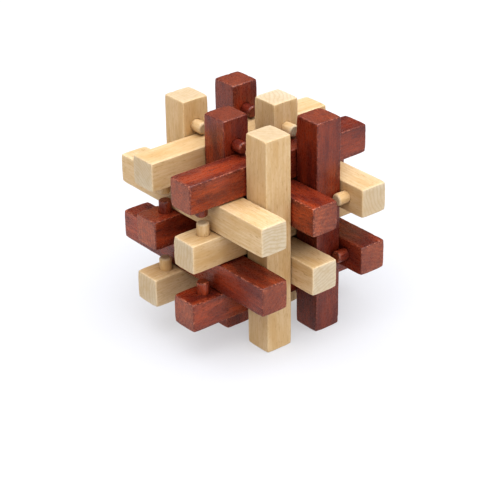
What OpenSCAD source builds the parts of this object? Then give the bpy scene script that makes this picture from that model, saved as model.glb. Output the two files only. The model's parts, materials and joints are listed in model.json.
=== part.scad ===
// Burr puzzle of square wooden sticks that cross in three directions and lock one another.
// Posts stand along Z, rails run along Y and bars run along X. Short dowels glued near the
// ends of a stick stop it from sliding out past its neighbours. Two bars are plain: they are
// the keys that come out first. Millimetres. The origin is the centre of the bounding box,
// at the level of the posts' feet.

/* [Stick] */
// Width of a stick across its flats
stick_w = 12; // [10:0.5:16]
// Length of a rail or bar beyond the centre line of its dowel
stick_tail = 9.5; // [6:0.5:16]
// Length of a post beyond the centre line of its dowel
post_tail = 11; // [6:0.5:16]
// Radius on the edges of a stick
edge_r = 0.5; // [0.3:0.1:1.5]

/* [Dowel] */
// Diameter of a dowel
dowel_d = 5; // [3:0.5:6]
// Length of a dowel that stands proud of its stick
dowel_out = 5; // [3:0.5:5.5]
// Length of a dowel that is glued into its stick
dowel_in = 7; // [4:0.5:8]
// Chamfer on both ends of a dowel
dowel_chamfer = 0.6; // [0.2:0.1:1]

/* [Fit] */
// Clearance between two sticks that cross
cross_gap = 0.4; // [0.3:0.1:1.5]
// Play of a rail or bar along its own length, each way from its middle place
end_play = 0.9; // [0.4:0.1:2]
// Play of a post along its own length, each way from its middle place
post_play = 0.4; // [0.4:0.1:2]
// Gap left where a dowel has come to rest against a stick
stop_gap = 0.1; // [0.05:0.05:0.3]
// Glue film around a dowel
glue_gap = 0.05; // [0.02:0.01:0.1]

/* [Hidden] */
$fn = 48;

// Distance between neighbouring layers of sticks
half_pitch = stick_w + cross_gap;
// Distance of a dowel's centre line from the middle of a stick that had no play
dowel_min = 2 * half_pitch + stick_w / 2 + dowel_d / 2;
post_l = 2 * (dowel_min + post_play + post_tail);
// How far a rail or bar is off its middle place when a dowel stops it
slack = end_play - stop_gap;
// Rails and bars hang together as one stack, which has dropped onto the posts' lower dowels
stack_z = post_l / 2 - (post_play - stop_gap);
// Room for glue under a dowel
glue_pocket = 0.5;
// How far a cutting shape runs past the face that it cuts
past = 1;

LIGHT = [0.87, 0.72, 0.48];
DARK = [0.45, 0.13, 0.07];

// Each stick: name, the axis it runs along, its place in half pitches from the centre,
// its wood, the side its dowels point to (0 for a plain key), and how far it has slid,
// as a share of the slack. A post's dowels point along X, a rail's along Z, a bar's along Y.
STICKS = [
    ["post_front_left", "z", [-2, -1, 0], LIGHT, 1, 0],
    ["post_front_centre", "z", [0, -1, 0], DARK, 1, 0],
    ["post_front_right", "z", [2, -1, 0], LIGHT, -1, 0],
    ["post_back_left", "z", [-2, 1, 0], DARK, 1, 0],
    ["post_back_centre", "z", [0, 1, 0], LIGHT, 1, 0],
    ["post_back_right", "z", [2, 1, 0], DARK, -1, 0],
    ["rail_left_top", "y", [-1, 0, 2], LIGHT, -1, 0.6],
    ["rail_left_middle", "y", [-1, 0, 0], DARK, 1, 1],
    ["rail_left_bottom", "y", [-1, 0, -2], LIGHT, 1, 0],
    ["rail_right_top", "y", [1, 0, 2], DARK, -1, -0.8],
    ["rail_right_middle", "y", [1, 0, 0], LIGHT, 1, -0.1],
    ["rail_right_bottom", "y", [1, 0, -2], DARK, 1, -1],
    ["key_bar_upper", "x", [0, -2, 1], LIGHT, 0, -1],
    ["key_bar_lower", "x", [0, -2, -1], DARK, 0, -1],
    ["bar_middle_upper", "x", [0, 0, 1], DARK, 1, -1],
    ["bar_middle_lower", "x", [0, 0, -1], LIGHT, 1, -1],
    ["bar_back_upper", "x", [0, 2, 1], LIGHT, -1, -1],
    ["bar_back_lower", "x", [0, 2, -1], DARK, -1, -1],
];

function name_of(s) = s[0];
function run_of(s) = s[1];
function wood_of(s) = s[3];
function side_of(s) = s[4];
function slid_of(s) = s[5] * slack;
function dowel_at(s) = dowel_min + (run_of(s) == "z" ? post_play : end_play);
function length_of(s) = run_of(s) == "z" ? post_l : 2 * (dowel_at(s) + stick_tail);

// Names of a stick's low and high ends
function ends_of(s) =
    run_of(s) == "z" ? ["bottom", "top"] :
    run_of(s) == "y" ? ["front", "back"] :
    ["left", "right"];

// Centre of a stick. X is counted from the bars' middle, which have all slid towards -X.
function centre_of(s) =
    half_pitch * s[2]
    + (run_of(s) == "z" ? [slack, 0, post_l / 2] :
       run_of(s) == "y" ? [slack, slid_of(s), stack_z] :
       [slack + slid_of(s), 0, stack_z]);

// Turn that lays a stick along its axis, and roll that brings its dowels to their side
function turn_of(s) =
    run_of(s) == "z" ? [0, 0, 0] :
    run_of(s) == "y" ? [-90, 0, 0] :
    [0, 90, 0];
function roll_of(s) =
    run_of(s) == "z" ? (side_of(s) < 0 ? 180 : 0) :
    run_of(s) == "y" ? -90 * side_of(s) :
    90 * side_of(s);

DOWELLED = [for (s = STICKS) if (side_of(s) != 0) s];
function dowel_name(s, end) = str(name_of(s), "_dowel_", ends_of(s)[end]);

// Rectangle with rounded corners, about the origin
module rounded_rectangle(w, l) {
    square([w - 2 * edge_r, l], center = true);
    square([w, l - 2 * edge_r], center = true);
    for (x = [-1, 1], y = [-1, 1])
        translate([x * (w / 2 - edge_r), y * (l / 2 - edge_r)])
            circle(edge_r);
}

// Square bar along Z with its long edges and its end edges rounded
module rounded_bar(l) {
    intersection() {
        linear_extrude(l, center = true)
            rounded_rectangle(stick_w, stick_w);
        rotate([90, 0, 0])
            linear_extrude(stick_w, center = true)
                rounded_rectangle(stick_w, l);
        rotate([90, 0, 90])
            linear_extrude(stick_w, center = true)
                rounded_rectangle(stick_w, l);
    }
}

// Blind hole for a dowel, bored from the stick's +X face
module dowel_hole() {
    depth = dowel_in + glue_pocket;
    translate([stick_w / 2 - depth, 0, 0])
        rotate([0, 90, 0])
            cylinder(h = depth + past, d = dowel_d + 2 * glue_gap);
}

// Puts a piece that is drawn along Z, with its dowels towards +X, where its stick belongs
module at_stick(s) {
    translate(centre_of(s))
        rotate(turn_of(s))
            rotate([0, 0, roll_of(s)])
                children();
}

module stick(s) {
    color(wood_of(s))
        at_stick(s)
            difference() {
                rounded_bar(length_of(s));
                if (side_of(s) != 0)
                    for (end = [-1, 1])
                        translate([0, 0, end * dowel_at(s)])
                            dowel_hole();
            }
}

// Round peg: glued into the stick for part of its length, free at the other end
module dowel(s, end) {
    r = dowel_d / 2;
    c = dowel_chamfer;
    color(wood_of(s))
        at_stick(s)
            translate([stick_w / 2, 0, (2 * end - 1) * dowel_at(s)])
                rotate([0, 90, 0])
                    rotate_extrude()
                        polygon([
                            [0, -dowel_in],
                            [r - c, -dowel_in],
                            [r, -dowel_in + c],
                            [r, dowel_out - c],
                            [r - c, dowel_out],
                            [0, dowel_out]
                        ]);
}

for (s = STICKS)
    stick(s);

for (s = DOWELLED)
    for (end = [0, 1])
        dowel(s, end);
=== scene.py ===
import json
import math
import random

import bpy
from mathutils import Matrix, Vector, noise


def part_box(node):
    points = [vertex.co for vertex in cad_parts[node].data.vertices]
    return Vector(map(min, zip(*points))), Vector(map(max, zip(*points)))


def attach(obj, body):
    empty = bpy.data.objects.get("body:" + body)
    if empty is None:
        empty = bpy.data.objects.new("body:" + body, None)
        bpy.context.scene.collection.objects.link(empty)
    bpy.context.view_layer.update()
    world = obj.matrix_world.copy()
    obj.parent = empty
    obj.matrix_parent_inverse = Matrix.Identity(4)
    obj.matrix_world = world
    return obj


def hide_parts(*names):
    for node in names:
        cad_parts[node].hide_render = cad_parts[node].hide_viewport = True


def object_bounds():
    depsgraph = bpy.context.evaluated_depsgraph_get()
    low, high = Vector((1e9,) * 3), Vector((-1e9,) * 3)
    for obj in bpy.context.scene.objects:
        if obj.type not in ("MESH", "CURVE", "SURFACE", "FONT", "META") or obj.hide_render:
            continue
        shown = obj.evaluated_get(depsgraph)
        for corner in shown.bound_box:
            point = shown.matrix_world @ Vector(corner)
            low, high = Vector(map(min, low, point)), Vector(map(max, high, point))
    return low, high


# A burr puzzle of eighteen square sticks with glued-in dowels. Every stick and dowel takes its place and
# size from its CAD node. A piece is drawn in millimetres in a frame of its own: the stick's length, or the
# dowel's axis, lies along Z, and a stick's dowels point along +X. The stage and the camera are in metres.

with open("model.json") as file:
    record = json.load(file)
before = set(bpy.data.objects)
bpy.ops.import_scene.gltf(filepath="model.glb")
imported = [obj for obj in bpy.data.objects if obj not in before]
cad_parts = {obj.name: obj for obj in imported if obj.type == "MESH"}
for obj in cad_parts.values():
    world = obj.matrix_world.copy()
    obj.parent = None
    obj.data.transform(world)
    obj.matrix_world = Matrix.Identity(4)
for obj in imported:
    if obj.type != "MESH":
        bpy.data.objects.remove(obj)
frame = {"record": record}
cad_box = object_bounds()

MM = 0.001
TINY = 1e-4             # distance that counts as none

# Stick
EDGE_R = 0.5            # mean radius of the sanded edges
EDGE_R_WANDER = 0.28    # share of it by which the radius wanders along an edge
EDGE_R_WAVES = 0.11     # how fast it wanders, in waves per millimetre
EDGE_BAND = 0.9         # how far onto the flats the edge colours reach: wear, stain and, on the stained sticks, a partly painted highlight
CORNER_WEAR = 0.8       # share by which the radius is larger at a corner
CORNER_REACH = 3.0      # how far along the edges that goes
WEAR_LIMIT = 0.6        # share of an edge's radius that wear takes away at most
ARC_STEPS = 4           # grid cells across half of a rounded edge
CELL = 1.1              # grid cell on the flats
SHARP_ANGLE = 38        # degrees between two faces from which their shared edge is sharp

# Flats, which sanding has left uneven
FACE_WAVE = 0.035       # depth of the unevenness
STICK_WAVES = 0.23      # waves per millimetre on a stick
DOWEL_WAVES = 0.5       # and on a dowel
NOISE_SPAN = 50         # how far apart two pieces' places in the noise may lie, along each axis

# Knocks on the edges of a stick
PALE_KNOCKS = 7         # on each bare stick
DARK_KNOCKS = 16        # on each stained one
KNOCK_REACH = (0.7, 1.6)
KNOCK_DEPTH = (0.08, 0.22)

# Hole
HOLE_PATCH = 4.0        # half the square of grid that gives way to a dowel's hole
HOLE_CELLS = 8          # grid cells along a side of that square
HOLE_RIM = 0.18         # broken edge round a hole
GLUE_FILM = 0.05        # gap between a dowel and the wall of its hole
GLUE_POCKET = 0.5       # room left under a dowel

# Dowel
DOWEL_SIDES = 40
DOWEL_BREAK = 0.6       # chamfer on a dowel's ends
DOWEL_SOFT = 0.14       # rounding where a chamfer meets the side and the end

# The stained sticks; the others are bare
DARK_STICKS = (
    "post_front_centre", "post_back_left", "post_back_right",
    "rail_left_middle", "rail_right_top", "rail_right_bottom",
    "key_bar_lower", "bar_middle_upper", "bar_back_lower",
)

# How the wood was cut from the tree
PITH_AWAY = (28, 75)    # distance of a piece from the middle of its tree
TREE_HEIGHT = 4000      # room along the trunk in which the pieces lie
GRAIN_SLOPE = 0.022     # how far the fibres run off a piece's own line
RING_PITCH = 1.5        # distance between two growth rings
RING_BEND = 9.0         # how far the rings bend off true circles

# Camera, from the middle of the puzzle: angles in degrees, distances in metres
VIEW_AZIMUTH = 50.99
VIEW_ELEVATION = 27.83
VIEW_ROLL = -0.82
VIEW_DISTANCE = 0.6509
VIEW_RIGHT = -0.00055
VIEW_UP = -0.01613
LENS = 118.9            # focal length in millimetres

# Stage
FLOOR_HALF = 20.0       # half a side of the floor, in metres
SOFTBOX_COLOUR = (1.0, 0.99, 0.97)

# Light of the studio by height, from the horizon at 0 to overhead at 1
STUDIO = (
    (0.03, (0.9, 0.9, 0.92)),
    (0.1, (0.07, 0.07, 0.07)),
    (0.55, (0.1, 0.1, 0.1)),
    (0.8, (1.46, 1.48, 1.54)),
)


# ---- Stick and dowel meshes

def limit(value, low, high):
    """The value, kept between low and high."""
    return max(low, min(high, value))


def spread(start, end, cells):
    """Places of the cells' starts between start and end."""
    return [start + (end - start) * k / cells for k in range(cells)]


def grid_lines(half, stops):
    """Grid lines across a box from -half to half. Stops are places that get a line, with the number of
    cells up to each; the lines crowd on the rounded edges, at even steps of the arc."""
    flat = half - EDGE_R
    arc = [flat + EDGE_R * math.tan(math.pi / 4 * k / ARC_STEPS) for k in range(1, ARC_STEPS + 1)]
    lines = [-a for a in reversed(arc)]
    here = -flat
    for stop, cells in stops + [(flat, None)]:
        cells = cells or max(1, round((stop - here) / CELL))
        lines += spread(here, stop, cells)
        here = stop
    return lines + [flat] + arc


class Surface:
    """Points and faces of a closed mesh. Points that lie in the same place are one."""

    def __init__(self):
        self.points = []
        self.faces = []
        self.index = {}

    def point(self, p):
        key = tuple(round(c / TINY) for c in p)
        if key not in self.index:
            self.index[key] = len(self.points)
            self.points.append(Vector(p))
        return self.index[key]

    def bridge(self, outer, inner):
        """Quads between two loops with the same number of points."""
        count = len(outer)
        for k in range(count):
            after = (k + 1) % count
            self.faces.append((outer[k], outer[after], inner[after], inner[k]))


def add_side(surface, half, axis, sign, lines, in_hole):
    """One side of the box as a grid, without the cells that in_hole claims."""
    u, v = (axis + 1) % 3, (axis + 2) % 3
    for u0, u1 in zip(lines[u], lines[u][1:]):
        for v0, v1 in zip(lines[v], lines[v][1:]):
            if in_hole(axis, sign, (u0 + u1) / 2, (v0 + v1) / 2):
                continue
            corners = []
            for a, b in ((u0, v0), (u1, v0), (u1, v1), (u0, v1)):
                p = [0.0, 0.0, 0.0]
                p[axis] = sign * half[axis]
                p[u] = a
                p[v] = b
                corners.append(surface.point(p))
            surface.faces.append(tuple(corners if sign > 0 else reversed(corners)))


def around_square(k):
    """Point number k round a hole's square patch, and the unit circle's point that belongs to it."""
    side, step = divmod(k, HOLE_CELLS)
    run = HOLE_PATCH * (2 * step / HOLE_CELLS - 1)
    square = ((HOLE_PATCH, run), (-run, HOLE_PATCH), (-HOLE_PATCH, -run), (run, -HOLE_PATCH))[side]
    angle = math.pi / 2 * (side + step / HOLE_CELLS) - math.pi / 4
    return square, (math.cos(angle), math.sin(angle))


def add_hole(surface, top, along, radius, depth):
    """A blind hole in the +X side: the square patch closes in to a circle, which goes down to a floor."""
    count = 4 * HOLE_CELLS
    loops = []
    for blend in (0.0, 0.45, 0.8, 1.0):
        loop = []
        for k in range(count):
            square, circle = around_square(k)
            y, z = (s + (c * (radius + HOLE_RIM) - s) * blend for s, c in zip(square, circle))
            loop.append(surface.point((top, y, along + z)))
        loops.append(loop)
    for down, reach in ((HOLE_RIM, radius), (depth / 2, radius), (depth, radius), (depth, radius / 2)):
        loop = []
        for k in range(count):
            y, z = (c * reach for c in around_square(k)[1])
            loop.append(surface.point((top - down, y, along + z)))
        loops.append(loop)
    for outer, inner in zip(loops, loops[1:]):
        surface.bridge(outer, inner)
    middle = surface.point((top - depth, 0, along))
    last = loops[-1]
    for k in range(count):
        surface.faces.append((last[k], last[(k + 1) % count], middle))


def noise_place(chance):
    """A piece's own place in the noise, so that no two pieces are worn alike."""
    return Vector([chance.uniform(0, NOISE_SPAN) for _ in "xyz"])


def face_wave(place):
    """How far sanding has sunk a flat at a place in the noise."""
    return FACE_WAVE * (0.5 + 0.5 * noise.noise(place))


def knocks_of(half, count, chance):
    """Knocks on a stick's edges, about two in three on the long ones: middle, reach and depth of each."""
    knocks = []
    for _ in range(count):
        run = chance.choice((0, 1, 2, 2, 2, 2))
        middle = [chance.choice((-1, 1)) * h for h in half]
        middle[run] = chance.uniform(-1, 1) * half[run]
        knocks.append((Vector(middle), chance.uniform(*KNOCK_REACH), chance.uniform(*KNOCK_DEPTH)))
    return knocks


def worn(p, half, knocks, seed):
    """Where a point of the sharp box comes to lie on the sanded and knocked stick."""
    if all(abs(c) < h - TINY for c, h in zip(p, half)):
        return p
    corner_gap = Vector([h - abs(c) for c, h in zip(p, half)]).length
    rounding = CORNER_WEAR * limit(1 - corner_gap / CORNER_REACH, 0, 1)
    radius = EDGE_R * (1 + rounding + EDGE_R_WANDER * noise.noise(p * EDGE_R_WAVES + seed))
    sink = face_wave(p * STICK_WAVES - seed)
    for middle, reach, depth in knocks:
        near = 1 - (p - middle).length / reach
        if near > 0:
            sink += depth * near * near * (3 - 2 * near)
    core = Vector([limit(c, radius - h, h - radius) for c, h in zip(p, half)])
    return core + (p - core).normalized() * (radius - limit(sink, 0, WEAR_LIMIT * radius))


def masks(p, half):
    """Share of end grain, and of rounded edge, at a point of the sharp box."""
    gaps = [h - abs(c) for c, h in zip(p, half)]
    edge = limit(1 - sorted(gaps)[1] / EDGE_BAND, 0, 1)
    if gaps[2] < TINY:
        return 0.5 + 0.5 * limit(min(gaps[:2]) / EDGE_R, 0, 1), edge
    return 0.5 - 0.5 * limit(gaps[2] / EDGE_R, 0, 1), edge


class Cut:
    """The place in a tree that a piece of wood was cut from, drawn from the piece's own name."""

    def __init__(self, name):
        chance = random.Random(name)
        self.turn = Matrix.Rotation(chance.uniform(0, 2 * math.pi), 3, "Z")
        self.shift = Vector((chance.uniform(*PITH_AWAY), 0, chance.uniform(0, TREE_HEIGHT)))
        self.slope = Vector([chance.uniform(-GRAIN_SLOPE, GRAIN_SLOPE) for _ in "xy"] + [0])

    def at(self, p):
        return self.turn @ (p + self.slope * p.z) + self.shift


def new_piece(name, points, faces, ends, edges, place, material):
    """A mesh object in metres, with what its material reads: its place in the tree, and its masks."""
    mesh = bpy.data.meshes.new(name)
    mesh.from_pydata([p * MM for p in points], [], faces)
    cut = Cut(name)
    grain = [c for p in points for c in cut.at(p)]
    mesh.attributes.new("grain", "FLOAT_VECTOR", "POINT").data.foreach_set("vector", grain)
    mesh.attributes.new("end", "FLOAT", "POINT").data.foreach_set("value", ends)
    mesh.attributes.new("edge", "FLOAT", "POINT").data.foreach_set("value", edges)
    mesh.shade_smooth()
    mesh.set_sharp_from_angle(angle=math.radians(SHARP_ANGLE))
    mesh.materials.append(material)
    piece = bpy.data.objects.new(name, mesh)
    bpy.context.scene.collection.objects.link(piece)
    piece.modifiers.new("flat_shading", "WEIGHTED_NORMAL").keep_sharp = True
    piece.matrix_world = place
    return piece


def stick_piece(name, half, holes, place, material, knock_count):
    """A square stick. Holes are (place along it, radius, depth)."""
    across = []
    if holes:
        across = [(-HOLE_PATCH, 1), (HOLE_PATCH, HOLE_CELLS)]
    along = []
    for z, _, _ in sorted(holes):
        along += [(z - HOLE_PATCH, None), (z + HOLE_PATCH, HOLE_CELLS)]
    lines = [grid_lines(half[0], across), grid_lines(half[1], across), grid_lines(half[2], along)]

    def in_hole(axis, sign, y, z):
        if axis != 0 or sign < 0 or abs(y) > HOLE_PATCH:
            return False
        return any(abs(z - hole[0]) < HOLE_PATCH for hole in holes)

    surface = Surface()
    for axis in range(3):
        for sign in (-1, 1):
            add_side(surface, half, axis, sign, lines, in_hole)
    for hole in holes:
        add_hole(surface, half[0], *hole)
    chance = random.Random(name + " wear")
    knocks = knocks_of(half, knock_count, chance)
    seed = noise_place(chance)
    points = [worn(p, half, knocks, seed) for p in surface.points]
    ends, edges = zip(*[masks(p, half) for p in surface.points])
    return new_piece(name, points, surface.faces, ends, edges, place, material)


def dowel_outline(radius, length):
    """Distance from the axis, height, end grain and edge share of each ring, from the inner end out."""
    soft = 0.3 * DOWEL_SOFT
    bevel = [
        (radius - DOWEL_BREAK - DOWEL_SOFT, 0.0, 1.0, 0.0),
        (radius - DOWEL_BREAK + soft, soft, 0.8, 0.7),
        (radius - 0.5 * DOWEL_BREAK, 0.5 * DOWEL_BREAK, 0.5, 1.0),
        (radius - soft, DOWEL_BREAK - soft, 0.2, 0.7),
        (radius, DOWEL_BREAK + DOWEL_SOFT, 0.0, 0.0),
    ]
    rings = [(0.35 * radius, 0.0, 1.0, 0.0), (0.6 * radius, 0.0, 1.0, 0.0)] + bevel
    heights = spread(0, length, round(length))
    straight = [(radius, z, 0.0, 0.0) for z in heights if 1 < z < length - 1]
    return rings + straight + [(r, length - z, end, edge) for r, z, end, edge in reversed(rings)]


def dowel_piece(name, radius, length, place, material):
    """A round dowel with broken edges, its inner end at the origin."""
    seed = noise_place(random.Random(name + " wear"))
    outline = dowel_outline(radius, length)
    surface = Surface()
    points = [Vector((0, 0, 0))]
    masks_at = [(1.0, 0.0)]
    for r, z, end, edge in outline:
        for k in range(DOWEL_SIDES):
            angle = 2 * math.pi * k / DOWEL_SIDES
            way = Vector((math.cos(angle), math.sin(angle), 0))
            p = way * r + Vector((0, 0, z))
            sink = face_wave(p * DOWEL_WAVES + seed)
            points.append(p - way * sink * limit(r / radius, 0, 1))
            masks_at.append((end, edge))
    points.append(Vector((0, 0, length)))
    masks_at.append((1.0, 0.0))
    loops = [[1 + ring * DOWEL_SIDES + k for k in range(DOWEL_SIDES)] for ring in range(len(outline))]
    for low, high in zip(loops, loops[1:]):
        surface.bridge(low, high)
    for k in range(DOWEL_SIDES):
        after = (k + 1) % DOWEL_SIDES
        surface.faces.append((0, loops[0][after], loops[0][k]))
        surface.faces.append((len(points) - 1, loops[-1][k], loops[-1][after]))
    ends, edges = zip(*masks_at)
    return new_piece(name, points, surface.faces, ends, edges, place, material)


# ---- Placing the pieces on the CAD nodes

def middle_of(node):
    low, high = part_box(node)
    return (low + high) / 2


def size_of(node):
    low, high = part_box(node)
    return high - low


def unit(axis, sign=1):
    way = Vector((0, 0, 0))
    way[axis] = sign
    return way


def place_of(middle, x_way, z_way):
    """Matrix of a frame with that origin, X and Z."""
    turn = Matrix((x_way, z_way.cross(x_way), z_way)).transposed()
    return Matrix.Translation(middle) @ turn.to_4x4()


def settle(piece, body, node):
    """Makes the piece move with its body, and hides the CAD node that it takes the place of."""
    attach(piece, body)
    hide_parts(node)


def build_stick(name, dowels, material, knock_count):
    """A stick and its dowels, each in place of its CAD node and riding on the stick's body."""
    size = size_of(name)
    run = max(range(3), key=lambda a: size[a])
    z_way = unit(run)
    x_way = unit((run + 1) % 3)  # a plain stick may face either way
    if dowels:
        aside = middle_of(dowels[0]) - middle_of(name)
        aside[run] = 0
        side = max(range(3), key=lambda a: abs(aside[a]))
        x_way = unit(side, math.copysign(1, aside[side]))
    width = min(size) / MM
    holes = []
    for dowel in dowels:
        aside = middle_of(dowel) - middle_of(name)
        length = abs(size_of(dowel).dot(x_way))
        radius = size_of(dowel)[run] / 2
        inner = aside.dot(x_way) - length / 2
        depth = width / 2 - inner / MM + GLUE_POCKET
        holes.append((aside.dot(z_way) / MM, radius / MM + GLUE_FILM, depth))
        bottom = middle_of(dowel) - x_way * length / 2
        place = place_of(bottom, z_way, x_way)
        piece = dowel_piece(dowel + "_wood", radius / MM, length / MM, place, material)
        settle(piece, name, dowel)
    half = (width / 2, width / 2, size[run] / 2 / MM)
    place = place_of(middle_of(name), x_way, z_way)
    piece = stick_piece(name + "_wood", half, holes, place, material, knock_count)
    settle(piece, name, name)


# ---- Materials

class Tree:
    """Short calls for the nodes of one material."""

    def __init__(self, name):
        self.material = bpy.data.materials.new(name)
        self.material.use_nodes = True
        self.nodes = self.material.node_tree.nodes
        self.links = self.material.node_tree.links
        self.shader = self.nodes["Principled BSDF"]

    def add(self, kind, inputs, **settings):
        made = self.nodes.new("ShaderNode" + kind)
        for key, value in settings.items():
            setattr(made, key, value)
        for key, value in inputs.items():
            self.put(made.inputs[key], value)
        return made

    def put(self, socket, value):
        if isinstance(value, bpy.types.NodeSocket):
            self.links.new(value, socket)
        else:
            socket.default_value = value

    def read(self, attribute, output="Fac"):
        return self.add("Attribute", {}, attribute_name=attribute).outputs[output]

    def maths(self, operation, *values):
        return self.add("Math", dict(enumerate(values)), operation=operation).outputs[0]

    def remap(self, value, low, high, to_low=0.0, to_high=1.0):
        """Value from low to high becomes to_low to to_high, smoothly."""
        places = {0: value, 1: low, 2: high, 3: to_low, 4: to_high}
        return self.add("MapRange", places, interpolation_type="SMOOTHSTEP").outputs[0]

    def along_fibres(self, vector, share):
        """The vector with only a share of its height, which draws a pattern out along the trunk."""
        return self.add("VectorMath", {0: vector, 1: (1, 1, share)}, operation="MULTIPLY").outputs[0]

    def noise(self, vector, scale, detail, roughness=0.5):
        inputs = {"Vector": vector, "Scale": scale, "Detail": detail, "Roughness": roughness}
        return self.add("TexNoise", inputs).outputs["Fac"]

    def mix(self, share, colour, tint):
        """Colour with a share of the tint over it."""
        return self.add("Mix", {0: share, 6: colour, 7: tint}, data_type="RGBA").outputs[2]

    def bump(self, height, depth, normal=None):
        inputs = {"Height": height, "Distance": depth, "Strength": 1.0}
        if normal:
            inputs["Normal"] = normal
        return self.add("Bump", inputs).outputs["Normal"]


class Grain:
    """What the wood's colour is made from, each from 0 to 1: the piece's masks, and patterns of the
    solid wood that are read at a point's place in its tree."""

    def __init__(self, tree):
        spot = tree.read("grain", "Vector")
        self.end = tree.read("end")
        self.edge = tree.read("edge")

        def streaks(share, scale, detail, roughness=0.5):
            """Noise drawn out along the fibres: the smaller the share, the longer."""
            return tree.noise(tree.along_fibres(spot, share), scale, detail, roughness)

        # Rings round the pith: each darkens slowly and ends sharply
        from_pith = tree.add("VectorMath", {0: tree.along_fibres(spot, 0)}, operation="LENGTH")
        bent = tree.maths("MULTIPLY_ADD", streaks(0.12, 0.06, 3), RING_BEND, from_pith.outputs["Value"])
        phase = tree.maths("FRACT", tree.maths("DIVIDE", bent, RING_PITCH))
        self.rings = tree.maths("MULTIPLY", tree.remap(phase, 0.35, 0.9), tree.remap(phase, 1.0, 0.9))

        # Along the fibres, from fine to broad
        self.pores = tree.remap(streaks(0.16, 2.3, 1.5), 0.6, 0.72)
        self.fibres = streaks(0.07, 1.7, 4, 0.62)
        self.mottle = streaks(0.5, 1.5, 3, 0.6)
        self.clouds = streaks(0.3, 0.16, 4, 0.6)
        self.tone = streaks(0.15, 0.035, 1)

        # The same in every direction
        self.scuffs = tree.noise(spot, 1.3, 4, 0.7)
        self.specks = tree.noise(spot, 0.4, 5, 0.65)


def wood_relief(tree, grain, fibre_depth, pore_depth):
    """Raised fibres and sunk pores."""
    raised = tree.bump(grain.fibres, fibre_depth * MM)
    sunk = tree.maths("SUBTRACT", 1.0, grain.pores)
    return tree.bump(sunk, pore_depth * MM, raised)


def wood_surface(tree, colour, rough, relief, specular):
    """The material, once the tree's shader has these."""
    tree.put(tree.shader.inputs["Base Color"], colour)
    tree.put(tree.shader.inputs["Roughness"], rough)
    tree.put(tree.shader.inputs["Normal"], relief)
    tree.shader.inputs["Specular IOR Level"].default_value = specular
    return tree.material


def pale_wood():
    """Bare cream wood with faint straight grain, ochre clouds and paler end grain."""
    cream = (0.645, 0.503, 0.333, 1)
    late_cream = (0.605, 0.458, 0.283, 1)
    ochre_fibre = (0.52, 0.362, 0.185, 1)
    ochre_fleck = (0.50, 0.34, 0.17, 1)
    ochre_cloud = (0.51, 0.335, 0.155, 1)
    brown_pore = (0.36, 0.22, 0.09, 1)
    end_cream = (0.545, 0.47, 0.36, 1)
    late_end = (0.475, 0.39, 0.275, 1)
    end_speck = (0.46, 0.36, 0.23, 1)
    lighter_edge = (0.71, 0.61, 0.45, 1)
    deep_ochre = (0.47, 0.31, 0.15, 1)

    tree = Tree("pale_wood_grain")
    grain = Grain(tree)
    side = tree.mix(grain.rings, cream, late_cream)
    side = tree.mix(tree.remap(grain.fibres, 0.4, 0.7, 0, 0.6), side, ochre_fibre)
    side = tree.mix(tree.remap(grain.mottle, 0.45, 0.75, 0, 0.4), side, ochre_fleck)
    side = tree.mix(tree.remap(grain.clouds, 0.42, 0.68, 0, 0.65), side, ochre_cloud)
    side = tree.mix(tree.maths("MULTIPLY", grain.pores, 0.6), side, brown_pore)
    end = tree.mix(grain.rings, end_cream, late_end)
    end = tree.mix(tree.remap(grain.specks, 0.4, 0.7, 0, 0.6), end, end_speck)
    colour = tree.mix(grain.end, side, end)
    bright = tree.maths("MULTIPLY", grain.edge, tree.remap(grain.scuffs, 0.35, 0.6, 0.1, 0.6))
    colour = tree.mix(bright, colour, lighter_edge)
    colour = tree.mix(tree.remap(grain.tone, 0.35, 0.65, 0, 0.35), colour, deep_ochre)
    rough = tree.maths("MULTIPLY_ADD", grain.end, 0.15, tree.remap(grain.fibres, 0.3, 0.7, 0.45, 0.58))
    relief = wood_relief(tree, grain, fibre_depth=0.04, pore_depth=0.04)
    return wood_surface(tree, colour, rough, relief, specular=0.35)


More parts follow.
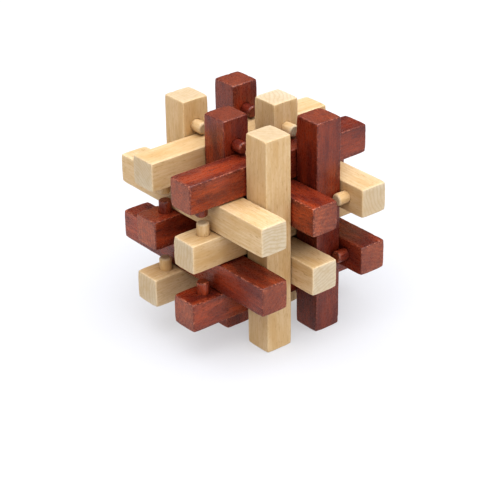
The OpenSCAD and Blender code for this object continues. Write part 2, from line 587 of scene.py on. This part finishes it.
def dark_wood():
    """The same wood under a red-brown stain, which lies in blotches and is rubbed off the edges; the light
    lines along the edges are partly that wear and partly a painted highlight.
    """
    red = (0.39, 0.082, 0.027, 1)
    late_red = (0.32, 0.062, 0.020, 1)
    deep_cloud = (0.12, 0.024, 0.017, 1)
    deep_fibre = (0.10, 0.021, 0.014, 1)
    black_pore = (0.052, 0.011, 0.009, 1)
    deep_fleck = (0.09, 0.018, 0.011, 1)
    end_red = (0.33, 0.080, 0.028, 1)
    late_end = (0.43, 0.122, 0.045, 1)
    end_speck = (0.13, 0.038, 0.022, 1)
    end_fleck = (0.11, 0.028, 0.016, 1)
    end_dust = (0.36, 0.18, 0.12, 1)
    # lighter edge colour: partly bare wood where the stain is rubbed off, partly a painted highlight of
    # the rounded edges
    lighter_edge = (0.64, 0.28, 0.17, 1)
    thick_edge = (0.07, 0.013, 0.007, 1)
    deep_red = (0.11, 0.014, 0.008, 1)

    tree = Tree("dark_wood_stain")
    grain = Grain(tree)
    side = tree.mix(grain.rings, red, late_red)
    side = tree.mix(tree.remap(grain.clouds, 0.38, 0.66, 0, 0.9), side, deep_cloud)
    side = tree.mix(tree.remap(grain.fibres, 0.38, 0.72, 0, 0.35), side, deep_fibre)
    side = tree.mix(tree.maths("MULTIPLY", grain.pores, 0.4), side, black_pore)
    side = tree.mix(tree.remap(grain.mottle, 0.48, 0.7, 0, 0.3), side, deep_fleck)
    end = tree.mix(grain.rings, end_red, late_end)
    end = tree.mix(tree.remap(grain.specks, 0.38, 0.7, 0, 0.65), end, end_speck)
    end = tree.mix(tree.remap(grain.mottle, 0.46, 0.66, 0, 0.5), end, end_fleck)
    end = tree.mix(tree.remap(grain.scuffs, 0.5, 0.66, 0, 0.35), end, end_dust)
    colour = tree.mix(grain.end, side, end)
    # light lines on the edges: partly stain rubbed off, partly a painted highlight
    rubbed_and_highlit = tree.maths("MULTIPLY", grain.edge, tree.remap(grain.scuffs, 0.53, 0.62, 0, 0.85))
    colour = tree.mix(rubbed_and_highlit, colour, lighter_edge)
    filled = tree.maths("MULTIPLY", grain.edge, tree.remap(grain.scuffs, 0.54, 0.46, 0, 0.85))
    colour = tree.mix(filled, colour, thick_edge)
    colour = tree.mix(tree.remap(grain.tone, 0.35, 0.65, 0, 0.5), colour, deep_red)
    rough = tree.maths("MULTIPLY_ADD", grain.end, 0.05, tree.remap(grain.mottle, 0.35, 0.65, 0.22, 0.42))
    relief = wood_relief(tree, grain, fibre_depth=0.05, pore_depth=0.07)
    return wood_surface(tree, colour, rough, relief, specular=0.75)


def floor_white():
    """A white table top that glows by its own emission: a painted glow, which keeps the shadow under the
    puzzle faint and lights the puzzle from below.
    """
    tree = Tree("floor_white")
    tree.shader.inputs["Base Color"].default_value = (0.28, 0.284, 0.30, 1)
    tree.shader.inputs["Roughness"].default_value = 0.7
    tree.shader.inputs["Specular IOR Level"].default_value = 0.1
    # painted glow: the floor gives off light of its own, so its shadow stays faint and the puzzle is lit
    # from below
    tree.shader.inputs["Emission Color"].default_value = (0.985, 0.985, 1.0, 1)
    tree.shader.inputs["Emission Strength"].default_value = 0.36
    return tree.material


# ---- Stage

def build_floor():
    """A floor that reaches far past the view."""
    corners = [(FLOOR_HALF * x, FLOOR_HALF * y, 0) for x, y in ((-1, -1), (1, -1), (1, 1), (-1, 1))]
    mesh = bpy.data.meshes.new("floor")
    mesh.from_pydata(corners, [], [(0, 1, 2, 3)])
    mesh.materials.append(floor_white())
    floor = bpy.data.objects.new("floor", mesh)
    bpy.context.scene.collection.objects.link(floor)


def build_light(name, way, strength, width):
    """A far softbox, width degrees across, that shines from the side that way points to."""
    lamp = bpy.data.lights.new(name, "SUN")
    lamp.energy = strength
    lamp.angle = math.radians(width)
    lamp.color = SOFTBOX_COLOUR
    light = bpy.data.objects.new(name, lamp)
    light.rotation_mode = "QUATERNION"
    light.rotation_quaternion = Vector(way).to_track_quat("Z", "Y")
    bpy.context.scene.collection.objects.link(light)


def build_surroundings():
    """A plain studio: white at the horizon, dim above it, light overhead."""
    world = bpy.data.worlds.new("studio")
    bpy.context.scene.world = world
    world.use_nodes = True
    nodes = world.node_tree.nodes
    links = world.node_tree.links
    spot = nodes.new("ShaderNodeTexCoord")
    parts = nodes.new("ShaderNodeSeparateXYZ")
    ramp = nodes.new("ShaderNodeValToRGB")
    links.new(spot.outputs["Generated"], parts.inputs[0])
    links.new(parts.outputs["Z"], ramp.inputs[0])
    links.new(ramp.outputs[0], nodes["Background"].inputs["Color"])
    while len(ramp.color_ramp.elements) < len(STUDIO):
        ramp.color_ramp.elements.new(0.5)
    for stop, (height, colour) in zip(ramp.color_ramp.elements, STUDIO):
        stop.position = height
        stop.color = (*colour, 1)


def build_camera():
    """The viewpoint: round the middle of the puzzle by two angles, a little rolled."""
    low, high = cad_box
    middle = (low + high) / 2
    azimuth = math.radians(VIEW_AZIMUTH)
    elevation = math.radians(VIEW_ELEVATION)
    ahead = Vector((-math.sin(azimuth), math.cos(azimuth), 0))
    back = Vector((0, 0, math.sin(elevation))) - ahead * math.cos(elevation)
    level = Vector((math.cos(azimuth), math.sin(azimuth), 0))
    roll = Matrix.Rotation(math.radians(VIEW_ROLL), 3, back)
    right = roll @ level
    up = roll @ back.cross(level)
    lens = bpy.data.cameras.new("camera")
    lens.lens = LENS
    lens.clip_start = 0.01
    lens.clip_end = 100
    camera = bpy.data.objects.new("camera", lens)
    spot = middle + back * VIEW_DISTANCE + right * VIEW_RIGHT + up * VIEW_UP
    camera.matrix_world = Matrix.Translation(spot) @ Matrix((right, up, back)).transposed().to_4x4()
    bpy.context.scene.collection.objects.link(camera)
    bpy.context.scene.camera = camera


# ---- The whole scene

def build_puzzle():
    """Each body is a stick, and its other nodes are that stick's dowels."""
    pale = pale_wood()
    dark = dark_wood()
    for body, nodes in frame["record"]["behaviour"]["bodies"].items():
        dowels = sorted(n for n in nodes if n != body)
        if body in DARK_STICKS:
            build_stick(body, dowels, dark, DARK_KNOCKS)
        else:
            build_stick(body, dowels, pale, PALE_KNOCKS)


build_puzzle()
build_floor()
build_surroundings()
build_light("side_softbox", (0.62, -0.08, 0.78), strength=1.85, width=90)
build_light("front_softbox", (-0.08, -0.75, 0.65), strength=0.55, width=70)
build_camera()
bpy.context.scene.view_settings.view_transform = "Standard"
bpy.context.scene.view_settings.look = "High Contrast"
